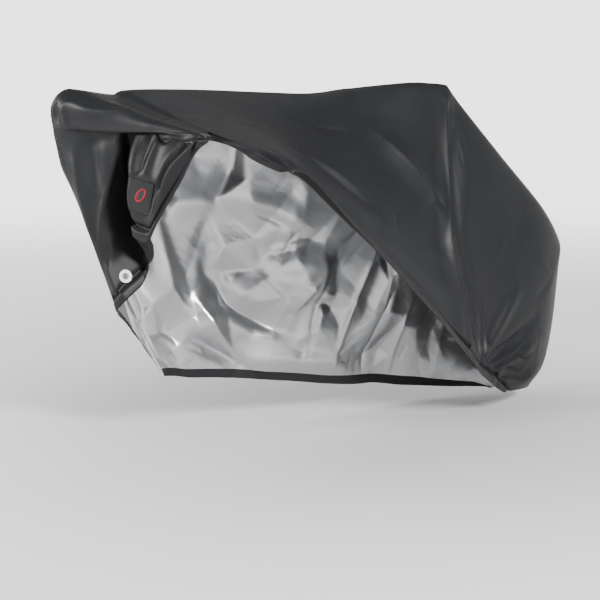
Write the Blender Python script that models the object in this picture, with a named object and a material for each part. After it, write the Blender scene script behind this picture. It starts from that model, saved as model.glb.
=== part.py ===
# Bicycle cover, hung over a bicycle that is not part of the model.
# Metres, +Z up. +X runs to the bicycle's rear wheel, +Y to its far side.
# The origin is the held point, on the underside of the cloth where the saddle carries it.
# Heights in the tables below are above the ground, and the whole is lowered at the end.

import bmesh
import bpy
import numpy as np
from mathutils import Vector

# Driving sizes
SADDLE_HEIGHT = 1.08          # ground to the outside of the cloth over the saddle
CLOTH = 0.002                 # coated cloth with its hem turned in
CLEARANCE = 0.0003            # between pieces that touch
FAR_COLUMNS = 15              # mesh columns from the far hem to the crown
NEAR_COLUMNS = 25             # mesh columns from the crown to the near hem
CURTAIN_ROWS = 15             # mesh rows on the cloth that hangs in front of the handlebar
BODY_ROWS = 48                # mesh rows from the band over the handlebar to the rear hem
SPACING_PLACES = (0.25, 0.5, 0.75)   # lines along the cloth on which its rows are spaced
LEAST_SPACING = 0.0008        # keeps some rows where the sections draw together
CURVE_POINTS = 65             # points that a section's curve is measured with
FINE_SECTIONS = 20            # trial sections for each one in the table, to space the rows
HEM_CROWDING = 1.25           # above 1, the hanging cloth's rows are closer at its hem
FOLD_POINTS = 41              # points along a fold
FOLD_ENDS = 0.02              # a fold's height at its ends comes from this near them
SOFTENING = 2                 # passes that round the ridge along the crown
CROWN_REACH = 0.12            # how far along a section the crown is held up after them

# The handlebar is turned, so the front of the cover faces the near side too.
BAR_ALONG = np.array((-0.452, 0.892, 0.0))     # towards the far grip
BAR_OUT = np.array((-0.892, -0.452, 0.0))      # forwards, away from the bicycle

# One row for each section, from the band at the front to the rear hem. A section runs from the
# far hem over the crown to the near hem. Shoulder and skirt push its upper and lower part
# outwards, to +Y on the far half and to -Y on the near half.
SECTION_COLUMNS = ("crownX", "crownY", "crownZ", "farX", "farY", "farZ", "nearX", "nearY", "nearZ",
                   "farShoulder", "farSkirt", "nearShoulder", "nearSkirt")
SECTIONS = (
    # band over the handlebar: its lower edge, its upper edge, then the peak over the far grip
    (-1.118, 0.338, 0.930, -0.792, 0.300, 0.206, -0.905, -0.101, 0.924, 0.02, 0.02, 0.00, 0.00),
    (-1.125, 0.335, 1.000, -0.775, 0.300, 0.204, -0.866, -0.150, 0.900, 0.02, 0.02, 0.01, 0.02),
    (-1.087, 0.330, 1.037, -0.750, 0.300, 0.200, -0.836, -0.200, 0.876, 0.02, 0.02, 0.02, 0.04),
    (-0.972, 0.290, 1.024, -0.720, 0.300, 0.193, -0.810, -0.250, 0.850, 0.03, 0.02, 0.03, 0.05),
    (-0.929, 0.270, 1.038, -0.690, 0.300, 0.187, -0.785, -0.290, 0.830, 0.04, 0.02, 0.03, 0.05),
    # from the handlebar to the saddle
    (-0.723, 0.200, 1.042, -0.600, 0.300, 0.175, -0.755, -0.330, 0.806, 0.05, 0.02, 0.03, 0.05),
    (-0.425, 0.110, 1.038, -0.400, 0.285, 0.145, -0.605, -0.310, 0.689, 0.05, 0.02, 0.02, 0.03),
    (-0.282, 0.070, 1.056, -0.250, 0.275, 0.120, -0.460, -0.285, 0.585, 0.05, 0.02, 0.02, 0.02),
    (-0.087, 0.010, 1.078, -0.080, 0.260, 0.090, -0.235, -0.245, 0.420, 0.06, 0.02, 0.02, 0.01),
    (0.010, 0.000, 1.080, 0.020, 0.250, 0.080, -0.040, -0.205, 0.265, 0.06, 0.02, 0.02, 0.01),
    (0.085, 0.000, 1.076, 0.100, 0.220, 0.068, 0.074, -0.170, 0.185, 0.06, 0.02, 0.03, 0.01),
    # from the saddle down round the rear wheel, with the near hem drawn together
    (0.150, 0.000, 1.018, 0.170, 0.200, 0.060, 0.110, -0.155, 0.160, 0.07, 0.02, 0.04, 0.01),
    (0.350, 0.000, 0.855, 0.250, 0.185, 0.050, 0.155, -0.140, 0.135, 0.09, 0.02, 0.08, 0.01),
    (0.583, 0.000, 0.668, 0.330, 0.165, 0.042, 0.189, -0.130, 0.117, 0.12, 0.02, 0.11, 0.02),
    (0.680, 0.000, 0.545, 0.380, 0.150, 0.038, 0.210, -0.120, 0.105, 0.13, 0.02, 0.12, 0.02),
    (0.655, 0.000, 0.330, 0.420, 0.138, 0.034, 0.235, -0.115, 0.092, 0.11, 0.02, 0.11, 0.02),
    (0.610, 0.000, 0.130, 0.450, 0.128, 0.031, 0.262, -0.105, 0.080, 0.07, 0.02, 0.08, 0.02),
    (0.535, 0.000, 0.040, 0.472, 0.120, 0.030, 0.281, -0.100, 0.072, 0.02, 0.01, 0.03, 0.02),
)

# One row for each line down the cloth that hangs in front of the handlebar, from the far hem's
# front corner round to the near hem. Top is the place on the band's edge that it hangs from.
# Across and out move the middle of the line, towards the far grip and forwards.
CURTAIN_COLUMNS = ("across", "top", "hemX", "hemY", "hemZ", "middleAcross", "middleOut")
CURTAIN = (
    (0.00, 0.000, -0.792, 0.300, 0.206, 0.000, 0.000),
    (0.22, 0.220, -0.850, 0.310, 0.290, 0.000, 0.000),
    (0.42, 0.420, -0.925, 0.300, 0.385, 0.000, 0.000),
    (0.50, 0.500, -0.985, 0.245, 0.425, 0.000, 0.000),
    (0.56, 0.640, -0.980, 0.215, 0.450, 0.035, 0.000),
    (0.60, 0.718, -0.960, 0.200, 0.480, 0.055, 0.000),
    (0.64, 0.728, -0.895, 0.215, 0.508, 0.050, -0.085),
    (0.67, 0.738, -0.900, 0.165, 0.578, 0.010, -0.090),
    (0.70, 0.748, -0.985, 0.150, 0.645, 0.015, 0.000),
    (0.76, 0.785, -0.990, 0.125, 0.640, 0.005, 0.020),
    (0.82, 0.830, -0.985, 0.100, 0.632, 0.000, 0.010),
    (0.87, 0.875, -0.976, 0.083, 0.632, 0.000, 0.020),
    (0.91, 0.910, -0.968, 0.070, 0.690, 0.000, 0.010),
    (0.95, 0.945, -0.940, 0.015, 0.765, 0.000, 0.010),
    (0.98, 0.975, -0.918, -0.020, 0.845, 0.000, 0.005),
    (1.00, 1.000, -0.908, -0.045, 0.885, 0.000, 0.000),
)

# The band turns under and up before the cloth hangs down: steps inwards and upwards from its edge.
TURN_COLUMNS = ("inwards", "upwards")
TURN = ((0.030, 0.010), (0.021, 0.022), (0.011, 0.014), (0.005, -0.004))
BAND_RISE = 0.4               # share of the band's height over which its slope is taken
TURN_STARTS = 0.51            # no turn on the far side of this place along the section
TURN_FULL = 0.57
TURN_STEP = 0.03              # spacing of its rows where there is no turn

# One row for each fold: a soft ridge, or a trough where its height is below 0. It runs from its
# start through its middle to its end. Row counts 0 to 1 up the hanging cloth and 2 onwards
# through the sections. Place is 0 at the far hem and 1 at the near one.
FOLD_COLUMNS = ("row", "place", "middleRow", "middlePlace", "endRow", "endPlace", "height", "width")
FOLDS = (
    # near side: the taut ridge from the saddle to the gather, and the troughs beside it
    (11.60, 0.550, 10.63, 0.800, 11.50, 0.985, 0.020, 0.034),
    (12.15, 0.570, 11.60, 0.700, 11.60, 0.880, -0.024, 0.038),
    (11.80, 0.800, 12.10, 0.880, 12.20, 0.950, -0.016, 0.024),
    # pleats that fan out from the gather
    (13.30, 0.960, 14.10, 0.900, 14.60, 0.780, 0.014, 0.022),
    (14.10, 0.965, 15.20, 0.900, 15.90, 0.780, -0.018, 0.024),
    (14.90, 0.970, 16.30, 0.900, 16.90, 0.780, 0.014, 0.022),
    (15.60, 0.970, 17.30, 0.880, 17.80, 0.760, -0.016, 0.022),
    # near side: beside the hem, the long slack, and the facets below the saddle
    (4.50, 0.950, 8.00, 0.955, 11.20, 0.960, -0.012, 0.022),
    (7.53, 0.803, 8.16, 0.837, 9.05, 0.874, -0.010, 0.040),
    (7.80, 0.640, 8.30, 0.644, 8.80, 0.647, -0.008, 0.040),
    (9.40, 0.650, 9.83, 0.702, 10.39, 0.755, 0.008, 0.050),
    # the band over the handlebar: its upper edge and the corner over the far grip
    (3.05, 0.545, 3.05, 0.620, 4.20, 0.700, 0.010, 0.022),
    (3.07, 0.547, 2.60, 0.553, 2.15, 0.556, 0.006, 0.014),
    (2.95, 0.520, 2.60, 0.525, 2.15, 0.530, -0.006, 0.014),
    # the far grip's hanging panel
    (0.95, 0.530, 0.72, 0.521, 0.46, 0.513, 0.006, 0.018),
    (0.95, 0.552, 0.80, 0.556, 0.62, 0.566, -0.010, 0.028),
    # pleats of the gathered cloth above the near lock hole
    (0.97, 0.704, 0.70, 0.731, 0.50, 0.734, 0.012, 0.012),
    (0.98, 0.740, 0.78, 0.760, 0.64, 0.763, -0.013, 0.011),
    (0.97, 0.772, 0.78, 0.782, 0.64, 0.785, 0.011, 0.011),
    (0.98, 0.803, 0.80, 0.806, 0.66, 0.808, -0.012, 0.011),
    (0.97, 0.832, 0.75, 0.840, 0.60, 0.845, 0.011, 0.012),
    (0.95, 0.872, 0.72, 0.881, 0.40, 0.893, -0.013, 0.014),
    # far side, seen from within: the long diagonal folds and the slack above the hem
    (7.08, 0.235, 7.25, 0.150, 8.30, 0.085, 0.018, 0.030),
    (6.60, 0.155, 7.00, 0.090, 7.50, 0.025, -0.018, 0.034),
    (6.25, 0.080, 6.90, 0.055, 7.60, 0.012, 0.014, 0.028),
    (7.60, 0.034, 8.76, 0.036, 9.90, 0.034, -0.018, 0.034),
    (6.30, 0.310, 7.40, 0.315, 8.50, 0.265, -0.020, 0.055),
    (7.80, 0.232, 8.30, 0.240, 9.10, 0.250, 0.014, 0.034),
    (8.40, 0.120, 8.80, 0.170, 9.40, 0.215, -0.014, 0.034),
    (9.60, 0.060, 10.2, 0.150, 10.6, 0.260, 0.016, 0.036),
    (11.0, 0.080, 11.3, 0.180, 11.4, 0.300, -0.016, 0.036),
    # far side: folds that fall from the far grip and from the saddle
    (4.20, 0.460, 4.50, 0.250, 5.00, 0.060, 0.015, 0.042),
    (5.70, 0.450, 5.50, 0.280, 5.60, 0.100, -0.014, 0.046),
    (11.0, 0.470, 10.5, 0.320, 10.0, 0.280, 0.013, 0.042),
    (12.6, 0.450, 12.3, 0.300, 11.9, 0.100, -0.014, 0.042),
    (14.2, 0.430, 13.8, 0.250, 13.2, 0.080, 0.014, 0.038),
)

# One row for each lock hole: where it is, its half sizes, how far its top leans to the near side
# (degrees), the reach of the flat cloth round it, and the width of its rim.
EYELET_COLUMNS = ("row", "place", "halfAcross", "halfUp", "lean", "flatReach", "rimWidth")
NEAR_EYELET = (0.41, 0.781, 0.0095, 0.018, 32.0, 0.045, 0.0050)
FAR_EYELET = (0.11, 0.595, 0.011, 0.011, 0.0, 0.050, 0.0080)
FRAME_ROW = 0.08              # steps along and across the cloth that give an eyelet its slant
FRAME_PLACE = 0.03
BLEND_REACH = 0.025           # beyond the flat reach, back to the folds
FLAT_PLACES = 0.10            # no flattening further than this along a section
RIM_THICKNESS = 0.0015
RIM_SIDES = 28
CUT_DEPTH = 0.008             # how far a hole's cutter reaches past the cloth, each way
PATCH = 0.0012                # thickness of the square sewn round the near hole
PATCH_ROWS = (0.24, 0.56)     # its lower and upper edge
PATCH_PLACES = (0.705, 0.838)


def smooth(stations, table, at):
    """Values between the rows of a table, on a smooth curve through them."""
    stations = np.asarray(stations, float)
    table = np.asarray(table, float)
    at = np.atleast_1d(np.asarray(at, float))
    slope = np.gradient(table, stations, axis=0)
    low = np.clip(np.searchsorted(stations, at, side="right") - 1, 0, len(stations) - 2)
    span = (stations[low + 1] - stations[low])[:, None]
    share = ((at - stations[low]) / span[:, 0])[:, None]
    start, end = table[low], table[low + 1]
    startSlope, endSlope = slope[low] * span, slope[low + 1] * span
    square, cube = share ** 2, share ** 3
    return (start * (2 * cube - 3 * square + 1) + end * (3 * square - 2 * cube)
            + startSlope * (cube - 2 * square + share) + endSlope * (cube - square))


def step(value, low, high):
    share = np.clip((value - low) / (high - low), 0.0, 1.0)
    return share * share * (3.0 - 2.0 * share)


def half_section(hem, crown, side, shoulder, skirt, shares):
    """Points at even shares of the length from a hem to the crown."""
    outward = np.array((0.0, side, 0.0))
    low = hem + (crown - hem) / 3 + outward * skirt
    high = crown + (hem - crown) / 3 + outward * shoulder
    t = np.linspace(0.0, 1.0, CURVE_POINTS)[:, None]
    curve = ((1 - t) ** 3 * hem + 3 * (1 - t) ** 2 * t * low + 3 * (1 - t) * t ** 2 * high
             + t ** 3 * crown)
    length = np.concatenate(((0.0,), np.cumsum(np.linalg.norm(np.diff(curve, axis=0), axis=1))))
    return np.stack([np.interp(shares * length[-1], length, curve[:, k]) for k in range(3)], 1)


def section(number, places):
    """The section at a row number of the table, at places from 0 at the far hem to 1."""
    values = smooth(range(len(SECTIONS)), SECTIONS, number)[0]
    column = dict(zip(SECTION_COLUMNS, values))
    crown = np.array([column["crownX"], column["crownY"], column["crownZ"]])
    far = np.array([column["farX"], column["farY"], column["farZ"]])
    near = np.array([column["nearX"], column["nearY"], column["nearZ"]])
    farHalf = half_section(far, crown, 1.0, column["farShoulder"], column["farSkirt"],
                           np.clip(places * 2, 0, 1))
    nearHalf = half_section(near, crown, -1.0, column["nearShoulder"], column["nearSkirt"],
                            np.clip(2 - places * 2, 0, 1))
    return np.where((places < 0.5)[:, None], farHalf, nearHalf)


def curtain_numbers():
    """Row numbers up the hanging cloth, closer together at its hem."""
    return np.linspace(0.0, 1.0, CURTAIN_ROWS) ** HEM_CROWDING


def curtain_rows(places):
    """Rows from the front hem up to the band, then through its turn."""
    values = smooth([line[0] for line in CURTAIN], [line[1:] for line in CURTAIN], places)
    hem = values[:, 1:4]
    edge = section(0, values[:, 0])
    rise = section(BAND_RISE, values[:, 0]) - edge
    rise /= np.linalg.norm(rise, axis=1, keepdims=True)
    inward = np.cross(rise, np.gradient(edge, axis=0))
    inward /= np.linalg.norm(inward, axis=1, keepdims=True)
    turned = step(places, TURN_STARTS, TURN_FULL)[:, None]
    first = TURN[0]
    top = edge + turned * (first[0] * inward + first[1] * rise)
    rows = []
    for share in curtain_numbers():
        w = share * (1.0 - len(TURN) * TURN_STEP * (1.0 - turned))
        bow = 4 * w * (1 - w)
        rows.append(hem + (top - hem) * w + bow * (values[:, 4:5] * BAR_ALONG
                                                  + values[:, 5:6] * BAR_OUT))
    straight = section(0, places)
    for count, (inwards, upwards) in enumerate(TURN[1:], start=1):
        mix = count / len(TURN)
        edgeHere = edge + (straight - edge) * mix
        w = 1.0 - (len(TURN) - count) * TURN_STEP * (1.0 - turned)
        bow = 4 * w * (1 - w)
        rows.append(hem + (edgeHere - hem) * w + bow * (values[:, 4:5] * BAR_ALONG
                                                       + values[:, 5:6] * BAR_OUT)
                    + turned * (inwards * inward + upwards * rise))
    return rows


def surface_normals(grid):
    along = np.gradient(grid, axis=0)
    across = np.gradient(grid, axis=1)
    normal = np.cross(across, along)
    return normal / np.linalg.norm(normal, axis=2, keepdims=True)


def on_grid(grid, rowNumbers, places, row, place):
    """Points of a grid at row and place numbers between its own."""
    i = np.interp(row, rowNumbers, np.arange(len(rowNumbers)))
    j = np.interp(place, places, np.arange(len(places)))
    low = np.clip(i.astype(int), 0, len(rowNumbers) - 2)
    left = np.clip(j.astype(int), 0, len(places) - 2)
    a, b = (i - low)[:, None], (j - left)[:, None]
    return ((grid[low, left] * (1 - a) + grid[low + 1, left] * a) * (1 - b)
            + (grid[low, left + 1] * (1 - a) + grid[low + 1, left + 1] * a) * b)


def add_folds(grid, rowNumbers, places):
    """Raise each fold along the surface's own normal."""
    normal = surface_normals(grid)
    total = np.zeros(grid.shape[:2])
    share = np.linspace(0.0, 1.0, FOLD_POINTS)
    for row, place, middleRow, middlePlace, endRow, endPlace, height, width in FOLDS:
        bow = 4 * share * (1 - share)
        line = on_grid(grid, rowNumbers, places,
                       row + (endRow - row) * share + bow * (middleRow - (row + endRow) / 2),
                       place + (endPlace - place) * share
                       + bow * (middlePlace - (place + endPlace) / 2))
        away = np.linalg.norm(grid[:, :, None, :] - line[None, None, :, :], axis=3)
        nearest = away.argmin(axis=2)
        taper = np.sin(np.pi * np.clip(share, FOLD_ENDS, 1 - FOLD_ENDS))[nearest] ** 0.5
        same = ((rowNumbers < 1.5)[:, None] == (row < 1.5))
        side = ((places < 0.5)[None, :] == (place < 0.5))
        total += height * taper * np.exp(-(away.min(axis=2) / width) ** 2) * same * side
    return grid + normal * total[:, :, None]


def even_numbers(count):
    """Row numbers of the sections that stand evenly apart along the cloth."""
    fine = np.linspace(0.0, len(SECTIONS) - 1, FINE_SECTIONS * len(SECTIONS))
    lines = np.stack([section(number, np.array(SPACING_PLACES)) for number in fine])
    gaps = np.linalg.norm(np.diff(lines, axis=0), axis=2).mean(axis=1) + LEAST_SPACING
    length = np.concatenate(((0.0,), np.cumsum(gaps)))
    return np.interp(np.linspace(0.0, length[-1], count), length, fine)


def cloth_grid():
    places = np.concatenate((np.linspace(0.0, 0.5, FAR_COLUMNS)[:-1],
                             np.linspace(0.5, 1.0, NEAR_COLUMNS)))
    rows = curtain_rows(places)
    bodyNumbers = even_numbers(BODY_ROWS)
    rowNumbers = np.concatenate((curtain_numbers(),
                                 np.linspace(1.0, 2.0, len(TURN) + 1)[1:-1], bodyNumbers + 2))
    rows += [section(number, places) for number in bodyNumbers]
    grid = np.stack(rows)
    soft = grid.copy()
    for _ in range(SOFTENING):
        soft[:, 1:-1] = (soft[:, :-2] + 2 * soft[:, 1:-1] + soft[:, 2:]) / 4
    crown = FAR_COLUMNS - 1
    hold = np.exp(-((places - 0.5) / CROWN_REACH) ** 2)[None, :, None]
    grid = soft + (grid[:, crown:crown + 1] - soft[:, crown:crown + 1]) * hold
    grid = add_folds(grid, rowNumbers, places)
    for eyelet in (NEAR_EYELET, FAR_EYELET):
        flatten(grid, rowNumbers, places, eyelet)
    return grid, rowNumbers, places


def eyelet_frame(grid, rowNumbers, places, eyelet):
    """An eyelet's centre and its across, up and out directions."""
    row, place, lean = eyelet[0], eyelet[1], np.radians(eyelet[4])
    centre, above, below, left, right = on_grid(
        grid, rowNumbers, places, row + FRAME_ROW * np.array((0, 1, -1, 0, 0)),
        place + FRAME_PLACE * np.array((0, 0, 0, -1, 1)))
    out = np.cross(right - left, above - below)
    out /= np.linalg.norm(out)
    up = above - below - out * np.dot(above - below, out)
    up /= np.linalg.norm(up)
    across = np.cross(up, out)
    return (centre, across * np.cos(lean) - up * np.sin(lean),
            up * np.cos(lean) + across * np.sin(lean), out)


def flatten(grid, rowNumbers, places, eyelet):
    """Press the cloth round an eyelet flat, fading back into its folds."""
    centre, _, _, out = eyelet_frame(grid, rowNumbers, places, eyelet)
    offset = grid - centre
    away = np.linalg.norm(offset, axis=2)
    weight = 1.0 - step(away, eyelet[5], eyelet[5] + BLEND_REACH)
    weight *= (rowNumbers <= 1.0)[:, None]
    weight *= 1.0 - step(np.abs(places - eyelet[1]), FLAT_PLACES * 0.6, FLAT_PLACES)[None, :]
    grid -= (weight * (offset @ out))[:, :, None] * out


def material(name, colour, roughness, metallic=0.0):
    made = bpy.data.materials.new(name)
    made.use_nodes = True
    shader = made.node_tree.nodes["Principled BSDF"]
    shader.inputs["Base Color"].default_value = (*colour, 1.0)
    shader.inputs["Roughness"].default_value = roughness
    shader.inputs["Metallic"].default_value = metallic
    return made


def closed_sheet(name, outer, inner, finish):
    """A closed solid between two grids of the same shape."""
    rows, columns = outer.shape[:2]
    body = bmesh.new()
    skins = []
    for grid in (outer, inner):
        skins.append([[body.verts.new(Vector(point)) for point in row] for row in grid])
    for layer, skin in enumerate(skins):
        for i in range(rows - 1):
            for j in range(columns - 1):
                a, b, c, d = skin[i][j], skin[i][j + 1], skin[i + 1][j + 1], skin[i + 1][j]
                for corners in ((a, b, c), (a, c, d)):
                    body.faces.new(corners if layer == 0 else corners[::-1])
    edge = ([(0, j) for j in range(columns)] + [(i, columns - 1) for i in range(1, rows)]
            + [(rows - 1, j) for j in range(columns - 2, -1, -1)]
            + [(i, 0) for i in range(rows - 2, 0, -1)])
    for (i, j), (k, m) in zip(edge, edge[1:] + edge[:1]):
        body.faces.new((skins[0][k][m], skins[0][i][j], skins[1][i][j], skins[1][k][m]))
    mesh = bpy.data.meshes.new(name)
    body.to_mesh(mesh)
    body.free()
    mesh.materials.append(finish)
    thing = bpy.data.objects.new(name, mesh)
    bpy.context.collection.objects.link(thing)
    return thing


def swept_ring(name, frame, halfAcross, halfUp, profile):
    """A closed tube round an ellipse. The profile's points are steps outwards from the ellipse
    and out of the cloth, counter-clockwise."""
    centre, across, up, out = frame
    body = bmesh.new()
    loops = []
    for angle in np.linspace(0.0, 2 * np.pi, RIM_SIDES, endpoint=False):
        point = centre + across * halfAcross * np.cos(angle) + up * halfUp * np.sin(angle)
        away = across * np.cos(angle) / halfAcross + up * np.sin(angle) / halfUp
        away /= np.linalg.norm(away)
        loops.append([body.verts.new(Vector(point + away * radial + out * height))
                      for radial, height in profile])
    for loop, following in zip(loops, loops[1:] + loops[:1]):
        for k in range(len(profile)):
            m = (k + 1) % len(profile)
            body.faces.new((loop[k], loop[m], following[m], following[k]))
    bmesh.ops.recalc_face_normals(body, faces=body.faces)
    mesh = bpy.data.meshes.new(name)
    body.to_mesh(mesh)
    body.free()
    thing = bpy.data.objects.new(name, mesh)
    bpy.context.collection.objects.link(thing)
    return thing


def rim(name, frame, eyelet, stack, finish):
    """A rim clasped through a lock hole over what is stacked on the cloth's outer face."""
    low = -CLOTH - CLEARANCE
    high = stack + CLEARANCE
    bore, barrel, flange = -RIM_THICKNESS - CLEARANCE, -CLEARANCE, eyelet[6]
    profile = ((bore, low - RIM_THICKNESS), (flange, low - RIM_THICKNESS), (flange, low),
               (barrel, low), (barrel, high), (flange, high), (flange, high + RIM_THICKNESS),
               (bore, high + RIM_THICKNESS))
    thing = swept_ring(name, frame, eyelet[2], eyelet[3], profile)
    thing.data.materials.append(finish)
    return thing


def cut_hole(things, name, frame, eyelet):
    """Cut a lock hole through each of the things with one hidden cutter."""
    centre, across, up, out = frame
    body = bmesh.new()
    loops = []
    for height in (-CUT_DEPTH, CUT_DEPTH):
        loops.append([body.verts.new(Vector(centre + across * eyelet[2] * np.cos(angle)
                                            + up * eyelet[3] * np.sin(angle) + out * height))
                      for angle in np.linspace(0.0, 2 * np.pi, RIM_SIDES, endpoint=False)])
    body.faces.new(loops[0])
    body.faces.new(loops[1])
    for k in range(RIM_SIDES):
        m = (k + 1) % RIM_SIDES
        body.faces.new((loops[0][k], loops[0][m], loops[1][m], loops[1][k]))
    bmesh.ops.recalc_face_normals(body, faces=body.faces)
    mesh = bpy.data.meshes.new(name)
    body.to_mesh(mesh)
    body.free()
    cutter = bpy.data.objects.new(name, mesh)
    bpy.context.collection.objects.link(cutter)
    cutter.hide_render = True
    cutter.display_type = "WIRE"
    for thing in things:
        cut = thing.modifiers.new(name, "BOOLEAN")
        cut.operation = "DIFFERENCE"
        cut.object = cutter
    return cutter


def main():
    for thing in list(bpy.data.objects):
        bpy.data.objects.remove(thing)
    ground = bpy.data.objects.new("ground_point", None)
    ground.location = (0.0, 0.0, CLOTH - SADDLE_HEIGHT)
    bpy.context.collection.objects.link(ground)
    grid, rowNumbers, places = cloth_grid()
    normal = surface_normals(grid)
    black = material("coated_cloth", (0.055, 0.057, 0.060), 0.6)
    red = material("red_binding", (0.45, 0.03, 0.05), 0.6)
    white = material("pale_ring", (0.80, 0.80, 0.80), 0.4)

    seam = FAR_COLUMNS - 1
    near = closed_sheet("near_panel", grid[:, seam:], (grid - normal * CLOTH)[:, seam:], black)
    farGrid = grid[:, :seam + 1].copy()
    back = farGrid[:, -2] - farGrid[:, -1]
    farGrid[:, -1] += back / np.linalg.norm(back, axis=1, keepdims=True) * CLEARANCE
    farInner = farGrid - normal[:, :seam + 1] * CLOTH
    far = closed_sheet("far_panel", farGrid, farInner, black)

    low, high = np.searchsorted(rowNumbers, PATCH_ROWS)
    left, right = np.searchsorted(places, PATCH_PLACES)
    under = grid[low:high, left:right] + normal[low:high, left:right] * CLEARANCE
    over = under + normal[low:high, left:right] * PATCH
    patch = closed_sheet("lock_hole_patch", over, under, black)

    nearFrame = eyelet_frame(grid, rowNumbers, places, NEAR_EYELET)
    farFrame = eyelet_frame(grid, rowNumbers, places, FAR_EYELET)
    nearRim = rim("lock_hole_rim", nearFrame, NEAR_EYELET, CLEARANCE + PATCH, red)
    farRim = rim("second_lock_hole_rim", farFrame, FAR_EYELET, 0.0, white)
    nearCutter = cut_hole((near, patch), "lock_hole", nearFrame, NEAR_EYELET)
    farCutter = cut_hole((near,), "second_lock_hole", farFrame, FAR_EYELET)
    for thing in (near, far, patch, nearRim, farRim, nearCutter, farCutter):
        thing.parent = ground


main()
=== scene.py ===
import math

import bpy
import numpy as np
from mathutils import Matrix, Vector, geometry, noise


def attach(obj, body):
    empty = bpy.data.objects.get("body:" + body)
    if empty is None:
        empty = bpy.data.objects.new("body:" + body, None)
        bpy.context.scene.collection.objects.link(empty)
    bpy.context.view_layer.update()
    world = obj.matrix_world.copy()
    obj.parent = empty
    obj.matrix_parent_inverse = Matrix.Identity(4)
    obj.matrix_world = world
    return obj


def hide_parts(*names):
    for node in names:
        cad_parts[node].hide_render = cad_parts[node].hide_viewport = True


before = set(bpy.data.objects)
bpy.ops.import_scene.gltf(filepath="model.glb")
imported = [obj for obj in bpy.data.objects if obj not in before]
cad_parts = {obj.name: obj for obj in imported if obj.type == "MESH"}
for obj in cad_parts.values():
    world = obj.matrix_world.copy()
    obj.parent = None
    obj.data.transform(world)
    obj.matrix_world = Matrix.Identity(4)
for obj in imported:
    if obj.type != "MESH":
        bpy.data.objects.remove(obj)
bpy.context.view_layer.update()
print("frame loaded")

groundZ = -1.078   # the ground lies this far under the saddle rest
tiny = 1e-12       # keeps a division clear of nought


# short calls for the nodes of a material or a world
class Nodes:
    def __init__(self, owner):
        owner.use_nodes = True
        self.owner, self.tree = owner, owner.node_tree

    # a number or colour goes on the socket itself, and another node's output is linked to it
    def feed(self, node, values):
        for name, value in values.items():
            if isinstance(value, bpy.types.NodeSocket):
                self.tree.links.new(value, node.inputs[name])
            else:
                node.inputs[name].default_value = value

    def paint(self, values):
        self.feed(self.tree.nodes["Principled BSDF"], values)

    def add(self, kind, values, **settings):
        node = self.tree.nodes.new(kind)
        for key, value in settings.items():
            setattr(node, key, value)
        self.feed(node, values)
        return node.outputs

    def math(self, operation, *values):
        return self.add("ShaderNodeMath", dict(enumerate(values)), operation=operation)[0]

    # a smooth change of level while a value goes from one end to the other
    def ramp(self, value, ends, levels):
        names = ("Value", "From Min", "From Max", "To Min", "To Max")
        return self.add("ShaderNodeMapRange", dict(zip(names, (value, *ends, *levels))),
                        interpolation_type="SMOOTHSTEP")[0]

    def noise(self, place, scale, detail):
        values = {"Vector": place, "Scale": scale, "Detail": detail}
        return self.add("ShaderNodeTexNoise", values)["Fac"]

    def mix(self, share, first, second):
        values = {"Factor": share, 6: (*first, 1.0), 7: (*second, 1.0)}
        return self.add("ShaderNodeMix", values, data_type="RGBA")[2]

    # over another bump, if there is one
    def bump(self, height, strength, distance, **under):
        values = {"Height": height, "Strength": strength, "Distance": distance, **under}
        return self.add("ShaderNodeBump", values)["Normal"]


view = {
    "from": (-2.68155, -2.57920, 0.91611 + groundZ),
    "towards": (-0.51735, 0.0, 0.44292 + groundZ),
    "lens": 70.0, "sensor": 36.0,
}
studio = {
    "floorSize": 60.0, "floorColour": (0.45, 0.45, 0.45), "floorRough": 0.8,
    # brightness of the surroundings: on the viewer's side, on the far side, straight behind
    "before": 0.08, "behind": 0.90, "backdrop": 3.0,
    "horizon": 0.32,         # the least that it is low down
    "above": 0.15,           # the share of it overhead
    # where these change, as parts of a unit length ahead of the viewer or upwards
    "behindEnds": (0.1, 0.8), "backdropEnds": (0.72, 0.92),
    "horizonEnds": (0.09, 0.18), "aboveEnds": (0.17, 0.50),
    # the floor's glow, which lights the cover from below though the floor is no lamp, dimmed round
    # the cover as a painted shadow: centre, distances and the levels at them, added together
    "glowAndPaintedShadow": (((-0.1, 0.05, groundZ), (0.3, 1.9), (0.10, 0.60)),
             ((-1.4, -1.2, groundZ), (1.5, 14.0), (0.0, 2.20))),
    # place, aimed at, size, power
    "lamps": {
        "key": ((-4.3, 1.2, 0.7), (-0.8, 0.1, -0.4), 0.9, 270.0),
        "front": ((-0.8, -4.5, 1.6), (-0.3, 0.0, -0.4), 1.1, 640.0),
        "top": ((0.4, 0.8, 3.4), (-0.2, 0.0, -0.4), 1.4, 25.0),
        "back": ((-2.2, 4.2, 0.9), (-0.3, 0.25, -0.5), 1.4, 110.0),
    },
}


def aimed(place, target):
    turn = (Vector(target) - Vector(place)).to_track_quat("-Z", "Y")
    return Matrix.LocRotScale(Vector(place), turn, None)


def placed(name, data, place, target):
    made = bpy.data.objects.new(name, data)
    made.matrix_world = aimed(place, target)
    bpy.context.collection.objects.link(made)
    return made


def makeCamera():
    data = bpy.data.cameras.new("camera")
    data.lens = view["lens"]
    data.sensor_width = view["sensor"]
    bpy.context.scene.camera = placed("camera", data, view["from"], view["towards"])


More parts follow.
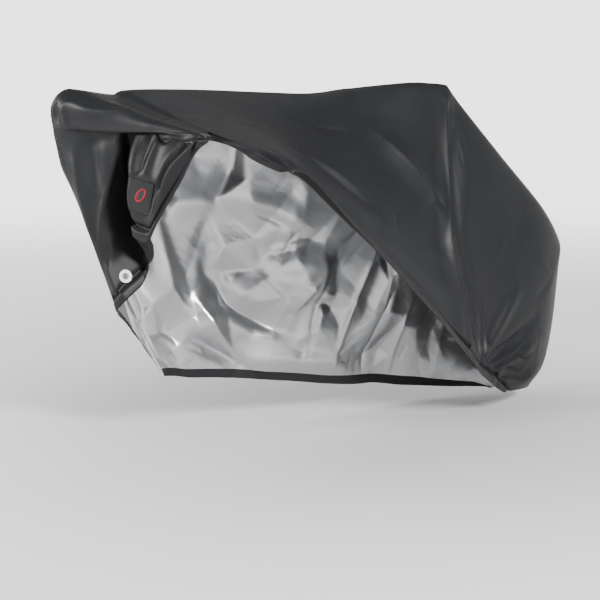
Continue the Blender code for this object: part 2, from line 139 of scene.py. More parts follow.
# pale around, paler where the viewer looks, dim overhead and on the viewer's side
def makeSurroundings():
    bpy.context.scene.world = bpy.data.worlds.new("studio")
    nodes = Nodes(bpy.context.scene.world)
    away = np.subtract(view["towards"], view["from"])
    place = nodes.add("ShaderNodeTexCoord", {})["Generated"]
    angle = -math.atan2(away[1], away[0])
    turned = nodes.add("ShaderNodeVectorRotate", {"Vector": place, "Angle": angle},
                       rotation_type="Z_AXIS")[0]
    split = nodes.add("ShaderNodeSeparateXYZ", {0: turned})
    ahead, upwards = split["X"], split["Z"]
    around = nodes.ramp(ahead, studio["behindEnds"], (studio["before"], studio["behind"]))
    paler = nodes.ramp(ahead, studio["backdropEnds"],
                       (0.0, studio["backdrop"] - studio["behind"]))
    low = nodes.ramp(upwards, studio["horizonEnds"], (studio["horizon"], 0.0))
    high = nodes.ramp(upwards, studio["aboveEnds"], (1.0, studio["above"]))
    level = nodes.math("MAXIMUM", nodes.math("ADD", around, paler), low)
    nodes.feed(nodes.tree.nodes["Background"], {
        "Color": (1.0, 1.0, 1.0, 1.0), "Strength": nodes.math("MULTIPLY", level, high)})


def makeStudio():
    for name, (place, target, size, power) in studio["lamps"].items():
        data = bpy.data.lights.new(name, "AREA")
        data.size = size
        data.energy = power
        placed(name, data, place, target)
    bpy.ops.object.select_all(action="DESELECT")
    bpy.ops.mesh.primitive_plane_add(size=studio["floorSize"], location=(0, 0, groundZ))
    floor = bpy.context.object
    floor.name = "floor"
    bpy.ops.object.transform_apply(location=True, rotation=True, scale=True)
    nodes = Nodes(bpy.data.materials.new("paleFloor"))
    place = nodes.add("ShaderNodeTexCoord", {})["Object"]
    # painted shadow and glow: the floor's emission is low under the cover and rises away from it
    parts = []
    for centre, ends, levels in studio["glowAndPaintedShadow"]:
        away = nodes.add("ShaderNodeVectorMath", {0: place, 1: centre}, operation="DISTANCE")
        parts.append(nodes.ramp(away["Value"], ends, levels))
    nodes.paint({"Base Color": (*studio["floorColour"], 1.0), "Roughness": studio["floorRough"],
                 "Emission Color": (1.0, 1.0, 1.0, 1.0),
                 "Emission Strength": nodes.math("ADD", *parts)})
    floor.data.materials.append(nodes.owner)


makeCamera()
makeSurroundings()
makeStudio()
print("camera, floor and light made")

# The shape in which the cloth hangs, in metres above the ground until its last step. Place counts
# along a section from the far hem, 0, over the crown, 0.5, to the near hem, 1. Row counts 0 to 1
# up the cloth that hangs in front of the handlebar, 1 to 2 through the band's turn, and 2 onwards
# through the sections.
crownPlace = 0.5
cover = {
    "cloth": 0.0012,         # thickness with its coating
    "curtainRows": 74, "turnRows": 12, "bodyRows": 300,
    "farColumns": 122, "nearColumns": 120,
    "hemPlaces": 0.05,       # the strip along each hem with columns set closer
    "farShare": 0.16, "nearShare": 0.28,   # share of each panel's columns in it
    "curvePoints": 65,       # points on each half of a section
    "softening": 0.024, "leastSpread": 1e-6,   # rounds the crown, in places
    "crownReach": 0.12,      # where the crown's own height is kept, in places
    "barAlong": (-0.452, 0.892, 0.0),   # the handlebar, towards the far grip
    "barOut": (-0.892, -0.452, 0.0),
    # how far inwards and upwards of the band's edge the cloth is, at equal steps of its turn
    "turn": ((0.030, 0.010), (0.021, 0.022), (0.011, 0.014), (0.005, -0.004), (0.0, 0.0)),
    "turnStarts": 0.51, "turnFull": 0.57,   # places
    "turnStep": 0.03,        # share of the hanging cloth in each step where it isn't turned
    "bandRise": 0.4,         # section that shows which way the band rises
    "bandRow": 1.5,          # folds keep to their own side of this row
    # steps in each section and places compared, which set the rows evenly apart
    "evenSteps": 20, "evenPlaces": (0.25, 0.5, 0.75), "leastSpacing": 0.0008,
    "crowdedRow": 9.3, "crowdedReach": 1.5, "crowding": 2.2,   # rows closer at the taut ridge
    # a cell's own normal counts from the first sine of its angle, fully from the second, and the
    # rows to either side make up the rest
    "skewed": (0.15, 0.45), "skewRows": 6,
    # sections where the crown turns tightly, and how much of its round stays
    "corners": ((2, 0.35), (10, 0.25), (14, 0.2)),
}
# crown x y z, far hem x y z, near hem x y z, far shoulder and skirt, near shoulder and skirt
sections = (
    (-1.118, 0.338, 0.930, -0.792, 0.300, 0.206, -0.905, -0.101, 0.924, 0.02, 0.02, 0.00, 0.00),
    (-1.125, 0.335, 1.000, -0.775, 0.300, 0.204, -0.866, -0.150, 0.900, 0.02, 0.02, 0.01, 0.02),
    (-1.087, 0.330, 1.037, -0.750, 0.300, 0.200, -0.836, -0.200, 0.876, 0.02, 0.02, 0.02, 0.04),
    (-0.972, 0.290, 1.024, -0.720, 0.300, 0.193, -0.810, -0.250, 0.850, 0.03, 0.02, 0.03, 0.05),
    (-0.929, 0.270, 1.038, -0.690, 0.300, 0.187, -0.785, -0.290, 0.830, 0.04, 0.02, 0.03, 0.05),
    (-0.723, 0.200, 1.042, -0.600, 0.300, 0.175, -0.755, -0.330, 0.806, 0.05, 0.02, 0.03, 0.05),
    (-0.425, 0.110, 1.038, -0.400, 0.285, 0.145, -0.605, -0.310, 0.689, 0.05, 0.02, 0.02, 0.03),
    (-0.282, 0.070, 1.056, -0.250, 0.275, 0.120, -0.460, -0.285, 0.585, 0.05, 0.02, 0.02, 0.02),
    (-0.087, 0.010, 1.078, -0.080, 0.260, 0.090, -0.235, -0.245, 0.420, 0.06, 0.02, 0.02, 0.01),
    (0.010, 0.000, 1.080, 0.020, 0.250, 0.080, -0.040, -0.205, 0.265, 0.06, 0.02, 0.02, 0.01),
    (0.085, 0.000, 1.076, 0.100, 0.220, 0.068, 0.074, -0.170, 0.185, 0.06, 0.02, 0.03, 0.01),
    (0.150, 0.000, 1.018, 0.170, 0.200, 0.060, 0.110, -0.155, 0.160, 0.07, 0.02, 0.04, 0.01),
    (0.350, 0.000, 0.855, 0.250, 0.185, 0.050, 0.155, -0.140, 0.135, 0.09, 0.02, 0.08, 0.01),
    (0.583, 0.000, 0.668, 0.330, 0.165, 0.042, 0.189, -0.130, 0.117, 0.12, 0.02, 0.11, 0.02),
    (0.680, 0.000, 0.545, 0.380, 0.150, 0.038, 0.210, -0.120, 0.105, 0.13, 0.02, 0.12, 0.02),
    (0.655, 0.000, 0.330, 0.420, 0.138, 0.034, 0.235, -0.115, 0.092, 0.11, 0.02, 0.11, 0.02),
    (0.610, 0.000, 0.130, 0.450, 0.128, 0.031, 0.262, -0.105, 0.080, 0.07, 0.02, 0.08, 0.02),
    (0.535, 0.000, 0.040, 0.472, 0.120, 0.030, 0.281, -0.100, 0.072, 0.02, 0.01, 0.03, 0.02),
)
# lines down the hanging cloth: across, top, front hem x y z, middle across, middle out
curtainLines = (
    (0.00, 0.000, -0.792, 0.300, 0.206, 0.000, 0.000),
    (0.22, 0.220, -0.850, 0.310, 0.290, 0.000, 0.000),
    (0.42, 0.420, -0.925, 0.300, 0.385, 0.000, 0.000),
    (0.50, 0.500, -0.985, 0.245, 0.425, 0.000, 0.000),
    (0.56, 0.640, -0.980, 0.215, 0.450, 0.035, 0.000),
    (0.60, 0.718, -0.960, 0.200, 0.480, 0.055, 0.000),
    (0.64, 0.728, -0.895, 0.215, 0.508, 0.050, -0.085),
    (0.67, 0.738, -0.900, 0.165, 0.578, 0.010, -0.090),
    (0.70, 0.748, -0.985, 0.150, 0.645, 0.015, 0.000),
    (0.76, 0.785, -0.990, 0.125, 0.640, 0.005, 0.020),
    (0.82, 0.830, -0.985, 0.100, 0.632, 0.000, 0.010),
    (0.87, 0.875, -0.976, 0.083, 0.632, 0.000, 0.020),
    (0.91, 0.910, -0.968, 0.070, 0.690, 0.000, 0.010),
    (0.95, 0.945, -0.940, 0.015, 0.765, 0.000, 0.010),
    (0.98, 0.975, -0.918, -0.020, 0.845, 0.000, 0.005),
    (1.00, 1.000, -0.908, -0.045, 0.885, 0.000, 0.000),
)
# Folds: height, width, sharpness from 0, round, to 1, creased, then the points along each as
# row and place. The broad ones, which the solids have too.
broadFolds = (
    (0.020, 0.034, 0, (11.60, 0.550), (10.63, 0.800), (11.50, 0.985)),
    (-0.024, 0.038, 0, (12.15, 0.570), (11.60, 0.700), (11.60, 0.880)),
    (-0.016, 0.024, 0, (11.80, 0.800), (12.10, 0.880), (12.20, 0.950)),
    (0.014, 0.022, 0, (13.30, 0.960), (14.10, 0.900), (14.60, 0.780)),
    (-0.018, 0.024, 0, (14.10, 0.965), (15.20, 0.900), (15.90, 0.780)),
    (0.014, 0.022, 0, (14.90, 0.970), (16.30, 0.900), (16.90, 0.780)),
    (-0.016, 0.022, 0, (15.60, 0.970), (17.30, 0.880), (17.80, 0.760)),
    (-0.012, 0.022, 0, (4.50, 0.950), (8.00, 0.955), (11.20, 0.960)),
    (-0.010, 0.040, 0, (7.53, 0.803), (8.16, 0.837), (9.05, 0.874)),
    (-0.008, 0.040, 0, (7.80, 0.640), (8.30, 0.644), (8.80, 0.647)),
    (0.015, 0.050, 0, (9.40, 0.650), (9.83, 0.702), (10.39, 0.755)),
    (0.010, 0.022, 0, (3.05, 0.545), (3.05, 0.620), (4.20, 0.700)),
    (0.006, 0.014, 0, (3.07, 0.547), (2.60, 0.553), (2.15, 0.556)),
    (-0.006, 0.014, 0, (2.95, 0.520), (2.60, 0.525), (2.15, 0.530)),
    (0.006, 0.018, 0, (0.95, 0.530), (0.72, 0.521), (0.46, 0.513)),
    (-0.010, 0.028, 0, (0.95, 0.552), (0.80, 0.556), (0.62, 0.566)),
    (0.012, 0.012, 0, (0.97, 0.704), (0.70, 0.731), (0.50, 0.734)),
    (0.018, 0.030, 0, (7.08, 0.235), (7.25, 0.150), (8.30, 0.085)),
    (-0.018, 0.034, 0, (6.60, 0.155), (7.00, 0.090), (7.50, 0.025)),
    (0.014, 0.028, 0, (6.25, 0.080), (6.90, 0.055), (7.60, 0.012)),
    (-0.018, 0.034, 0, (7.60, 0.034), (8.76, 0.036), (9.90, 0.034)),
    (-0.020, 0.055, 0, (6.30, 0.310), (7.40, 0.315), (8.50, 0.265)),
    (0.014, 0.034, 0, (7.80, 0.232), (8.30, 0.240), (9.10, 0.250)),
    (-0.014, 0.034, 0, (8.40, 0.120), (8.80, 0.170), (9.40, 0.215)),
    (0.016, 0.036, 0, (9.60, 0.060), (10.2, 0.150), (10.6, 0.260)),
    (-0.016, 0.036, 0, (11.0, 0.080), (11.3, 0.180), (11.4, 0.300)),
    (0.015, 0.042, 0, (4.20, 0.460), (4.50, 0.250), (5.00, 0.060)),
    (-0.014, 0.046, 0, (5.70, 0.450), (5.50, 0.280), (5.60, 0.100)),
    (0.013, 0.042, 0, (11.0, 0.470), (10.5, 0.320), (10.0, 0.280)),
    (-0.014, 0.042, 0, (12.6, 0.450), (12.3, 0.300), (11.9, 0.100)),
    (0.014, 0.038, 0, (14.2, 0.430), (13.8, 0.250), (13.2, 0.080)),
)
# The narrow ones, too fine for the solids.
fineFolds = (
    # near side, from the saddle to the gather
    (0.013, 0.010, 0.6, (11.60, 0.545), (11.13, 0.633), (10.85, 0.729), (10.63, 0.819),
     (10.80, 0.882), (11.04, 0.915), (11.52, 0.990)),
    (-0.015, 0.012, 0.4, (11.70, 0.560), (11.50, 0.629), (11.20, 0.719), (11.02, 0.807),
     (11.20, 0.860)),
    (-0.012, 0.009, 0.5, (11.43, 0.838), (11.50, 0.890), (11.66, 0.960)),
    (0.006, 0.008, 0.6, (11.95, 0.850), (12.20, 0.900), (12.40, 0.965)),
    (-0.012, 0.007, 0.5, (12.98, 0.870), (13.07, 0.925), (13.07, 0.975)),
    (0.007, 0.008, 0.6, (13.30, 0.860), (13.50, 0.920), (13.45, 0.975)),
    (-0.010, 0.008, 0.6, (13.66, 0.970), (14.59, 0.920), (15.68, 0.848)),
    (0.008, 0.007, 0.6, (14.05, 0.970), (15.40, 0.915), (16.30, 0.840)),
    (-0.010, 0.008, 0.6, (14.40, 0.975), (16.60, 0.869), (17.00, 0.800)),
    (0.008, 0.007, 0.6, (15.00, 0.975), (17.00, 0.890), (17.50, 0.810)),
    (-0.010, 0.008, 0.6, (16.37, 0.973), (17.76, 0.868), (18.00, 0.758)),
    # slack between the hem and the saddle
    (-0.009, 0.013, 0.3, (7.53, 0.803), (8.16, 0.837), (9.05, 0.874)),
    (0.005, 0.012, 0.5, (7.40, 0.780), (8.10, 0.812), (9.00, 0.848)),
    (-0.004, 0.010, 0.5, (7.70, 0.637), (8.21, 0.644), (8.85, 0.648)),
    (0.004, 0.014, 0.6, (9.30, 0.640), (9.83, 0.702), (10.39, 0.755)),
    (-0.004, 0.012, 0.5, (9.70, 0.640), (10.20, 0.700), (10.60, 0.760)),
    # the band over the handlebar
    (-0.0025, 0.0035, 0.8, (6.43, 0.546), (6.06, 0.616), (3.77, 0.780)),
    (0.005, 0.007, 0.7, (3.17, 0.546), (3.13, 0.577), (3.02, 0.617), (3.37, 0.672), (4.78, 0.689)),
    (-0.004, 0.008, 0.5, (3.60, 0.560), (3.50, 0.600), (3.40, 0.625), (3.90, 0.680)),
    (0.005, 0.005, 0.8, (3.07, 0.545), (2.42, 0.556), (2.10, 0.558)),
    (-0.003, 0.004, 0.7, (2.90, 0.538), (2.50, 0.545), (2.10, 0.548)),
    (-0.003, 0.004, 0.7, (2.90, 0.526), (2.50, 0.531), (2.10, 0.534)),
    # under the band's edge
    (-0.007, 0.020, 0.2, (0.93, 0.535), (0.93, 0.585), (0.93, 0.640), (0.93, 0.700)),
    # the far grip's hanging panel
    (-0.0020, 0.0030, 0.9, (0.73, 0.518), (0.66, 0.545), (0.58, 0.576)),
    (0.0040, 0.008, 0.5, (0.93, 0.522), (0.72, 0.519), (0.46, 0.513), (0.17, 0.505)),
    (0.0060, 0.009, 0.5, (0.97, 0.606), (0.76, 0.602), (0.56, 0.577), (0.34, 0.535)),
    (-0.0060, 0.018, 0.2, (0.96, 0.556), (0.85, 0.560), (0.65, 0.563)),
    (0.0030, 0.010, 0.5, (0.55, 0.520), (0.40, 0.525), (0.20, 0.540)),
    # the gathered cloth over the near lock hole
    (-0.032, 0.018, 0.2, (0.985, 0.640), (0.80, 0.645), (0.50, 0.652), (0.22, 0.655)),
    (0.005, 0.009, 0.5, (0.98, 0.690), (0.80, 0.715), (0.55, 0.734)),
    (0.014, 0.013, 0.4, (0.64, 0.700), (0.58, 0.692), (0.52, 0.696)),
    (-0.010, 0.012, 0.3, (0.98, 0.785), (0.76, 0.767), (0.58, 0.755)),
    (0.006, 0.011, 0.5, (0.98, 0.808), (0.75, 0.791), (0.58, 0.781)),
    (-0.010, 0.006, 0.6, (0.99, 0.800), (0.93, 0.822), (0.985, 0.850)),
    (-0.022, 0.010, 0.5, (0.975, 0.945), (0.90, 0.910), (0.81, 0.876), (0.61, 0.862),
     (0.45, 0.850)),
    (-0.009, 0.006, 0.6, (0.94, 0.950), (0.85, 0.926), (0.74, 0.900)),
    (0.009, 0.010, 0.5, (0.94, 0.972), (0.78, 0.930), (0.60, 0.903), (0.42, 0.890)),
    (-0.004, 0.005, 0.6, (0.55, 0.690), (0.42, 0.680), (0.36, 0.684)),
    (0.0035, 0.005, 0.6, (0.50, 0.700), (0.44, 0.694), (0.38, 0.696)),
    (-0.004, 0.005, 0.6, (0.20, 0.700), (0.14, 0.760), (0.16, 0.830)),
    (0.004, 0.005, 0.6, (0.12, 0.720), (0.07, 0.770), (0.10, 0.840)),
    # far side, seen from within
    (0.011, 0.012, 0.8, (7.08, 0.235), (7.23, 0.160), (7.35, 0.128), (7.79, 0.099), (8.15, 0.087)),
    (-0.010, 0.013, 0.7, (6.69, 0.150), (7.04, 0.088), (7.50, 0.020)),
    (0.010, 0.012, 0.8, (6.30, 0.075), (7.01, 0.051), (7.70, 0.010)),
    (0.009, 0.015, 0.8, (7.41, 0.308), (7.90, 0.285), (8.45, 0.258)),
    (-0.008, 0.011, 0.7, (8.72, 0.249), (8.22, 0.240), (7.87, 0.232)),
    (0.008, 0.011, 0.7, (8.30, 0.262), (8.20, 0.240), (8.05, 0.205)),
    (-0.008, 0.011, 0.7, (8.49, 0.127), (8.66, 0.150), (8.83, 0.171)),
    (0.008, 0.012, 0.7, (8.90, 0.060), (9.00, 0.130), (9.30, 0.200)),
    (-0.009, 0.014, 0.7, (9.40, 0.020), (9.70, 0.120), (10.30, 0.260)),
    (0.008, 0.012, 0.8, (10.40, 0.020), (10.60, 0.090), (11.20, 0.170)),
    (-0.008, 0.012, 0.7, (11.60, 0.020), (11.80, 0.080), (12.40, 0.150)),
)
folding = {
    "steps": 49,             # points along a fold
    "reach": 3.2,            # in widths
    "ends": 0.02, "taper": 0.5,           # how it fades out at its ends
    "steepness": 2.2, "roundTop": 0.35,   # where it is creased
}
# short random wrinkles over the rest, and the range of each of their measures
wrinkles = {
    "seed": 11, "count": 170,
    "length": (0.05, 0.22), "height": (0.0005, 0.0022), "width": (0.006, 0.020),
    "sharpness": 0.4, "lean": 0.9,
    "placesPerMetre": 0.5, "rowsPerMetre": 6.0,
    "rows": (2.2, 18.8), "lastRows": (2.05, 18.95),
    "places": (0.03, 0.97), "farPlaces": (0.0, 0.49), "nearPlaces": (0.51, 1.0),
    "crownGap": 0.02,
}
eyelets = {
    # lean in degrees, and the reach of the flat cloth round the hole
    "near": {"row": 0.41, "place": 0.781, "halfAcross": 0.0095, "halfUp": 0.018,
             "lean": 32.0, "flat": 0.045},
    "far": {"row": 0.11, "place": 0.595, "halfAcross": 0.011, "halfUp": 0.011,
            "lean": 0.0, "flat": 0.050},
    "blend": 0.025, "flatPlaces": (0.06, 0.10),
    "slopeRows": 0.08, "slopePlaces": 0.03,   # distance over which the cloth's slope is taken
    "cutterSides": 48, "cutterDepth": 0.016,
}


# values between the rows of a table, on a smooth curve with tighter turns at the corners
def smooth(stations, table, at, corners=()):
    stations = np.asarray(stations, float)
    table = np.asarray(table, float)
    at = np.atleast_1d(np.asarray(at, float))
    slope = np.gradient(table, stations, axis=0)
    for row, kept in corners:
        slope[row, 0:3] *= kept
    low = np.clip(np.searchsorted(stations, at, side="right") - 1, 0, len(stations) - 2)
    span = (stations[low + 1] - stations[low])[:, None]
    share = ((at - stations[low]) / span[:, 0])[:, None]
    start, end = table[low], table[low + 1]
    square, cube = share ** 2, share ** 3
    return (start * (2 * cube - 3 * square + 1) + end * (3 * square - 2 * cube)
            + slope[low] * span * (cube - 2 * square + share)
            + slope[low + 1] * span * (cube - square))


def step(value, low, high):
    share = np.clip((value - low) / (high - low), 0.0, 1.0)
    return share * share * (3.0 - 2.0 * share)


def unit(vectors):
    return vectors / np.linalg.norm(vectors, axis=-1, keepdims=True)


def totals(gaps):
    return np.concatenate(((0.0,), np.cumsum(gaps)))


def lengthAlong(line):
    return totals(np.linalg.norm(np.diff(line, axis=0), axis=1))


def pointsAt(at, stations, points):
    return np.stack([np.interp(at, stations, points[:, k]) for k in range(3)], -1)


def halfSection(hemPoint, crown, side, shoulder, skirt, shares):
    outward = np.array((0.0, side, 0.0))
    low = hemPoint + (crown - hemPoint) / 3 + outward * skirt
    high = crown + (hemPoint - crown) / 3 + outward * shoulder
    t = np.linspace(0.0, 1.0, cover["curvePoints"])[:, None]
    curve = ((1 - t) ** 3 * hemPoint + 3 * (1 - t) ** 2 * t * low + 3 * (1 - t) * t ** 2 * high
             + t ** 3 * crown)
    length = lengthAlong(curve)
    return pointsAt(shares * length[-1], length, curve)


def section(number, places):
    v = smooth(range(len(sections)), sections, number, cover["corners"])[0]
    crown, farHem, nearHem = v[0:3], v[3:6], v[6:9]
    farHalf = halfSection(farHem, crown, 1.0, v[9], v[10], np.clip(places / crownPlace, 0, 1))
    nearHalf = halfSection(nearHem, crown, -1.0, v[11], v[12],
                           np.clip((1 - places) / crownPlace, 0, 1))
    return np.where((places < crownPlace)[:, None], farHalf, nearHalf)


# the cloth in front of the handlebar, from its hem up to the band, and the band's turn
def curtainGrid(places):
    along, out = np.array(cover["barAlong"]), np.array(cover["barOut"])
    values = smooth([line[0] for line in curtainLines], [line[1:] for line in curtainLines], places)
    foot = values[:, 1:4]
    edge = section(0, values[:, 0])
    rise = unit(section(cover["bandRise"], values[:, 0]) - edge)
    inward = unit(np.cross(rise, np.gradient(edge, places, axis=0)))
    turned = step(places, cover["turnStarts"], cover["turnFull"])[:, None]
    steps = len(cover["turn"]) - 1
    straight = section(0, places)
    rows, numbers = [], []

    def bowed(top, w):
        bow = 4 * w * (1 - w)
        return foot + (top - foot) * w + bow * (values[:, 4:5] * along + values[:, 5:6] * out)

    firstIn, firstUp = cover["turn"][0]
    top = edge + turned * (firstIn * inward + firstUp * rise)
    for share in np.linspace(0.0, 1.0, cover["curtainRows"]):
        rows.append(bowed(top, share * (1.0 - steps * cover["turnStep"] * (1.0 - turned))))
        numbers.append(share)
    for count in np.linspace(0.0, steps, cover["turnRows"] + 1)[1:-1]:
        inwards, upwards = smooth(range(steps + 1), cover["turn"], count)[0]
        here = edge + (straight - edge) * count / steps
        w = 1.0 - (steps - count) * cover["turnStep"] * (1.0 - turned)
        rows.append(bowed(here, w) + turned * (inwards * inward + upwards * rise))
        numbers.append(1.0 + count / steps)
    return rows, numbers


# numbers between the sections that set the rows evenly apart, closer at the taut ridge
def evenNumbers(count):
    fine = np.linspace(0.0, len(sections) - 1, cover["evenSteps"] * len(sections))
    lines = np.stack([section(number, np.array(cover["evenPlaces"])) for number in fine])
    gaps = np.linalg.norm(np.diff(lines, axis=0), axis=2).mean(axis=1) + cover["leastSpacing"]
    middle = (fine[1:] + fine[:-1]) / 2
    near = (middle - cover["crowdedRow"]) / cover["crowdedReach"]
    gaps *= 1 + cover["crowding"] * np.exp(-near ** 2)
    length = totals(gaps)
    return np.interp(np.linspace(0.0, length[-1], count), length, fine)


def clothPlaces():
    strip = cover["hemPlaces"]
    closeFar = int(cover["farColumns"] * cover["farShare"])
    closeNear = int(cover["nearColumns"] * cover["nearShare"])
    return np.concatenate((
        np.linspace(0.0, strip, closeFar, endpoint=False),
        np.linspace(strip, crownPlace, cover["farColumns"] - closeFar, endpoint=False),
        np.linspace(crownPlace, 1 - strip, cover["nearColumns"] - closeNear, endpoint=False),
        np.linspace(1 - strip, 1.0, closeNear)))


# taken from more rows where the cells are skewed almost flat
def surfaceNormals(grid):
    across, down = np.gradient(grid, axis=1), np.gradient(grid, axis=0)
    cells = np.cross(across, down)
    size = np.linalg.norm(cells, axis=2)
    sine = size / (np.linalg.norm(across, axis=2) * np.linalg.norm(down, axis=2) + tiny)
    own = step(sine, *cover["skewed"])[:, :, None]
    total = np.concatenate((np.zeros((1,) + cells.shape[1:]), np.cumsum(cells, axis=0)))
    row = np.arange(len(grid))
    reach = cover["skewRows"]
    wide = total[np.minimum(row + reach + 1, len(grid))] - total[np.maximum(row - reach, 0)]
    return unit(cells / (size[:, :, None] + tiny) * own + unit(wide) * (1 - own))


def onGrid(grid, rows, places, row, place):
    i = np.interp(row, rows, np.arange(len(rows)))
    j = np.interp(place, places, np.arange(len(places)))
    low = np.clip(i.astype(int), 0, len(rows) - 2)
    left = np.clip(j.astype(int), 0, len(places) - 2)
    a, b = (i - low)[:, None], (j - left)[:, None]
    return ((grid[low, left] * (1 - a) + grid[low + 1, left] * a) * (1 - b)
            + (grid[low, left + 1] * (1 - a) + grid[low + 1, left + 1] * a) * b)


# each point's distance from a line of short straight parts, and how far along it lies
def fromLine(points, line):
    away = np.linalg.norm(points[:, None, :] - line[None, :, :], axis=2)
    nearest = away.argmin(axis=1)
    away, along = away.min(axis=1), nearest.astype(float)
    for shift in (-1, 0):
        first = np.clip(nearest + shift, 0, len(line) - 2)
        part = line[first + 1] - line[first]
        offset = points - line[first]
        share = (offset * part).sum(axis=1) / np.maximum((part ** 2).sum(axis=1), tiny)
        share = np.clip(share, 0, 1)
        gap = np.linalg.norm(offset - share[:, None] * part, axis=1)
        closer = gap < away
        away, along = np.where(closer, gap, away), np.where(closer, first + share, along)
    return away, along / (len(line) - 1)


# how far each point stands out along the normal for a list of folds
def raised(grid, rows, places, folds):
    total = np.zeros(grid.shape[:2])
    share = np.linspace(0.0, 1.0, folding["steps"])
    for height, width, sharp, *points in folds:
        if len(points) == 3:
            bow = (4 * share * (1 - share))[:, None]
            a, b, c = (np.array(point) for point in points)
            path = a + (c - a) * share[:, None] + bow * (b - (a + c) / 2)
        else:
            path = smooth(np.linspace(0.0, 1.0, len(points)), points, share)
        line = onGrid(grid, rows, places, path[:, 0], path[:, 1])
        reach = folding["reach"] * width
        inside = ((grid > line.min(axis=0) - reach) & (grid < line.max(axis=0) + reach)).all(axis=2)
        inside &= ((rows < cover["bandRow"])[:, None] == (path[0, 0] < cover["bandRow"]))
        inside &= ((places < crownPlace)[None, :] == (path[0, 1] < crownPlace))
        if not inside.any():
            continue
        away, along = fromLine(grid[inside], line)
        away /= width
        along = np.clip(along, folding["ends"], 1 - folding["ends"])
        taper = np.sin(np.pi * along) ** folding["taper"]
        top = folding["roundTop"]
        crease = np.exp(top - np.sqrt(away ** 2 * folding["steepness"] + top ** 2))
        total[inside] += height * taper * ((1 - sharp) * np.exp(-away ** 2) + sharp * crease)
    return total


# short wrinkles, mostly lying down the cloth
def randomFolds():
    chance = np.random.default_rng(wrinkles["seed"])
    found = []
    for _ in range(wrinkles["count"]):
        row = chance.uniform(*wrinkles["rows"])
        place = chance.uniform(*wrinkles["places"])
        if abs(place - crownPlace) < wrinkles["crownGap"]:
            continue
        length = chance.uniform(*wrinkles["length"])
        height = chance.uniform(*wrinkles["height"]) * chance.choice((-1, 1))
        width = chance.uniform(*wrinkles["width"])
        lean = chance.normal(0.0, wrinkles["lean"])
        halfPlace = length / 2 * wrinkles["placesPerMetre"] * math.cos(lean)
        halfRow = length / 2 * wrinkles["rowsPerMetre"] * math.sin(lean)
        limits = wrinkles["farPlaces"] if place < crownPlace else wrinkles["nearPlaces"]
        ends = [(float(np.clip(row + k * halfRow, *wrinkles["lastRows"])),
                 float(np.clip(place + k * halfPlace, *limits))) for k in (-1, 0, 1)]
        found.append((height, width, wrinkles["sharpness"], *ends))
    return found


crumples = {
    # spacing of the facets' corners, how far they stand out, and the seed
    "coarse": (0.160, 0.0280, 5), "fine": (0.080, 0.0125, 8),
    "jitter": 0.42,              # how far the corners stray, in spacings
    "nearSeed": 100,             # added on the near side
    "merged": 1e-6, "slack": 1e-9,   # gaps that count as none
    "wave": (0.300, 0.0060),     # slow swell under them
    "far": 1.0, "near": 0.06,    # the far side is slack, the near one taut
    "curtain": 0.7, "curtainRows": (1.0, 2.8),
    "crownFade": 0.06, "hemFade": 0.05, "hemLoss": 0.6,
}


# flat facets that meet in creases, as slack coated cloth has, over points in a plane
def facets(flat, spacing, height, seed):
    chance = np.random.default_rng(seed)
    low, high = flat.min(axis=0) - spacing, flat.max(axis=0) + spacing
    count = np.ceil((high - low) / spacing).astype(int)
    across, up = np.meshgrid(np.arange(count[0] + 1), np.arange(count[1] + 1), indexing="ij")
    shifts = chance.uniform(-crumples["jitter"], crumples["jitter"], (across.size, 2))
    corners = low + (np.stack((across.ravel(), up.ravel()), 1) + shifts) * spacing
    heights = chance.uniform(-height, height, len(corners))
    made = geometry.delaunay_2d_cdt([Vector(point) for point in corners], [], [], 0,
                                    crumples["merged"])
    total = np.zeros(len(flat))
    points = np.array([tuple(point) for point in made[0]])
    origin = [kept[0] for kept in made[3]]
    slack = crumples["slack"]
    for corner in made[2]:
        pa, pb, pc = points[list(corner)]
        low, high = np.minimum(np.minimum(pa, pb), pc), np.maximum(np.maximum(pa, pb), pc)
        found = np.nonzero((flat >= low).all(axis=1) & (flat <= high).all(axis=1))[0]
        if not len(found):
            continue
        offset = flat[found] - pa
        u, v = pb - pa, pc - pa
        area = u[0] * v[1] - u[1] * v[0]
        s = (offset[:, 0] * v[1] - offset[:, 1] * v[0]) / area
        t = (u[0] * offset[:, 1] - u[1] * offset[:, 0]) / area
        inside = (s >= -slack) & (t >= -slack) & (s + t <= 1 + slack)
        ha, hb, hc = (heights[origin[k]] for k in corner)
        total[found[inside]] = (ha + (hb - ha) * s + (hc - ha) * t)[inside]
    return total


# slack cloth's swell and facets, seen along Y, where both panels mostly face
def crumpled(grid, numbers, places):
    points = grid.reshape(-1, 3)
    flat = points[:, (0, 2)]
    cell, height = crumples["wave"]
    total = height * np.array([noise.noise(Vector(point / cell)) for point in points])
    for name in ("coarse", "fine"):
        spacing, height, seed = crumples[name]
        for side, shift in (("far", 0), ("near", crumples["nearSeed"])):
            mine = np.broadcast_to((places < crownPlace) == (side == "far"), grid.shape[:2]).ravel()
            total[mine] += facets(flat[mine], spacing, height * crumples[side], seed + shift)
    total = total.reshape(grid.shape[:2])
    total *= np.interp(numbers, crumples["curtainRows"], (crumples["curtain"], 1.0))[:, None]
    crown = np.exp(-((places - crownPlace) / crumples["crownFade"]) ** 2)
    ends = np.exp(-(np.minimum(places, 1 - places) / crumples["hemFade"]) ** 2)
    return total * ((1 - crown) * (1 - crumples["hemLoss"] * ends))[None, :]


